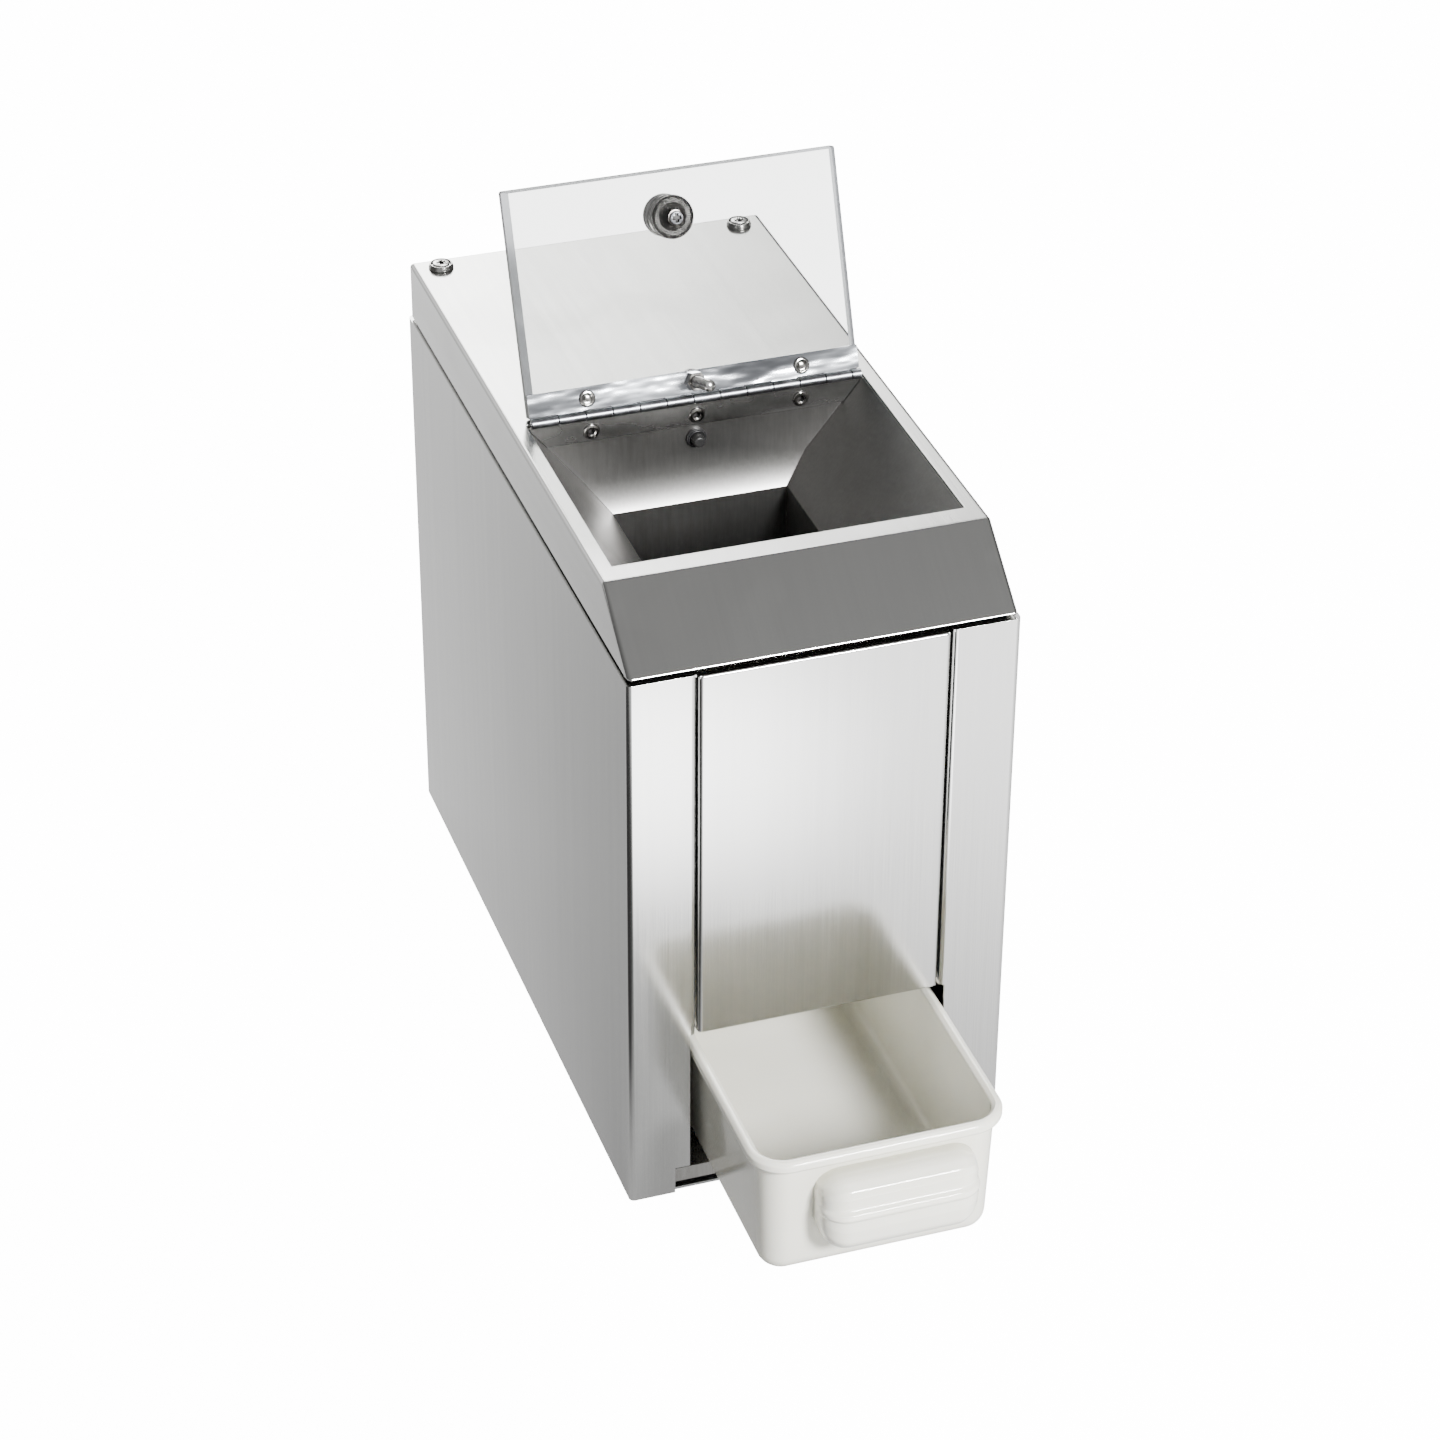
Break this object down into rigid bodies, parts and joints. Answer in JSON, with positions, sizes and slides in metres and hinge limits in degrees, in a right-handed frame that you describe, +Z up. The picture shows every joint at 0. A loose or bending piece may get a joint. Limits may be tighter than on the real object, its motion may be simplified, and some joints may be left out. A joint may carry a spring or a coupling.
{
  "type": "ice crusher",
  "caption": "Countertop electric ice crusher: steel cabinet, clear hinged hopper lid with safety switch, toothed rotor between fixed combs, geared motor and a pull-out ice tub.",
  "frame": {"origin": "middle of the base plate's underside, the flat face that carries the feet", "axes": "+Z up, +Y from the front towards the back, +X to the right as seen from the front"},
  "size_m": [0.178, 0.4701, 0.408],
  "materials": {
    "brushed_cabinet": "fine upright brushed grain, satin gloss",
    "satin_cover": "fine lengthwise brushed grain, darker satin",
    "bare_steel": "mill finish with a faint roll grain",
    "galvanised_sheet": "zinc coated sheet, faint spangle",
    "bright_fastener": "bright nickel plate",
    "hinge_steel": "bright plated hinge strip",
    "dark_nickel": "dark nickel, turned",
    "tool_steel": "ground steel",
    "cast_housing": "as cast, slightly grainy",
    "dark_paint": "dark enamel",
    "clear_acrylic": "clear cast sheet with polished faces and greyish sawn edges",
    "cream_plastic": "moulded, glossy cream white",
    "black_plastic": "moulded, fine texture",
    "black_rubber": "smooth moulded rubber"
  },
  "bodies": {
    "cabinet": {"outer_shell": "brushed_cabinet", "front_panel": "brushed_cabinet", "front_crossbar": "galvanised_sheet", "top_cover": "satin_cover", "rear_rail": "galvanised_sheet", "cover_washer_left": "bright_fastener", "cover_screw_left": "bright_fastener", "cover_washer_right": "bright_fastener", "cover_screw_right": "bright_fastener", "base_plate": "galvanised_sheet", "chassis_floor": "bare_steel", "foot_front_left": "black_rubber", "foot_front_right": "black_rubber", "foot_rear_left": "black_rubber", "foot_rear_right": "black_rubber", "drawer_rail_left": "galvanised_sheet", "crusher_stand_left": "galvanised_sheet", "comb_left": "tool_steel", "drawer_rail_right": "galvanised_sheet", "crusher_stand_right": "galvanised_sheet", "comb_right": "tool_steel", "crusher_housing": "cast_housing", "bearing_front": "tool_steel", "bearing_rear": "tool_steel", "chute": "bare_steel", "hopper": "bare_steel", "motor_mount": "galvanised_sheet", "motor_can": "dark_paint", "motor_end_cap": "cast_housing", "switch_body": "black_plastic", "switch_ring": "black_plastic", "hinge_lower_leaf": "hinge_steel", "hinge_pin": "hinge_steel", "hinge_rivet_1": "bright_fastener", "hinge_rivet_2": "bright_fastener", "hinge_rivet_3": "bright_fastener", "rocker_frame": "black_plastic", "cable_gland": "black_plastic"},
    "lid": {"lid_panel": "clear_acrylic", "lid_leaf": "hinge_steel", "lid_rivet_left": "bright_fastener", "lid_rivet_right": "bright_fastener", "lid_stud": "bright_fastener", "lid_nut": "bright_fastener", "lid_knob": "dark_nickel", "knob_screw": "bright_fastener"},
    "tub": {"drawer_tub": "cream_plastic"},
    "rotor": {"rotor_shaft": "tool_steel", "rotor_blade_1": "tool_steel", "rotor_blade_2": "tool_steel", "rotor_blade_3": "tool_steel", "rotor_blade_4": "tool_steel", "rotor_blade_5": "tool_steel", "rotor_gear": "tool_steel"},
    "motor_rotor": {"motor_shaft": "tool_steel", "motor_fan": "black_plastic"},
    "switch_plunger": {"switch_nose": "black_rubber"},
    "power_key": {"rocker_key": "black_plastic"}
  },
  "joints": [
    {"name": "lid_hinge", "type": "hinge", "parent": "cabinet", "child": "lid", "pos_m": [0, -0.0018, 0.3086], "axis": [1, 0, 0], "range_deg": [0, 115.3]},
    {"name": "tub_slide", "type": "slide", "parent": "cabinet", "child": "tub", "axis": [0, 1, 0], "range_m": [-0.1, 0.0865]},
    {"name": "rotor_spin", "type": "hinge", "parent": "cabinet", "child": "rotor", "pos_m": [0, 0, 0.182], "axis": [0, 1, 0], "continuous": true},
    {"name": "motor_spin", "type": "hinge", "parent": "cabinet", "child": "motor_rotor", "pos_m": [0, 0, 0.126], "axis": [0, 1, 0], "continuous": true},
    {"name": "switch_press", "type": "slide", "parent": "cabinet", "child": "switch_plunger", "axis": [0, 1, 0], "range_m": [0, 0.005], "stiffness_N_per_m": 400},
    {"name": "power_rocker", "type": "hinge", "parent": "cabinet", "child": "power_key", "pos_m": [0.048, 0.1745, 0.062], "axis": [1, 0, 0], "range_deg": [-18, 0]}
  ],
  "couplings": [
    {"joint": "motor_spin", "follows": "rotor_spin", "ratio": -3}
  ]
}
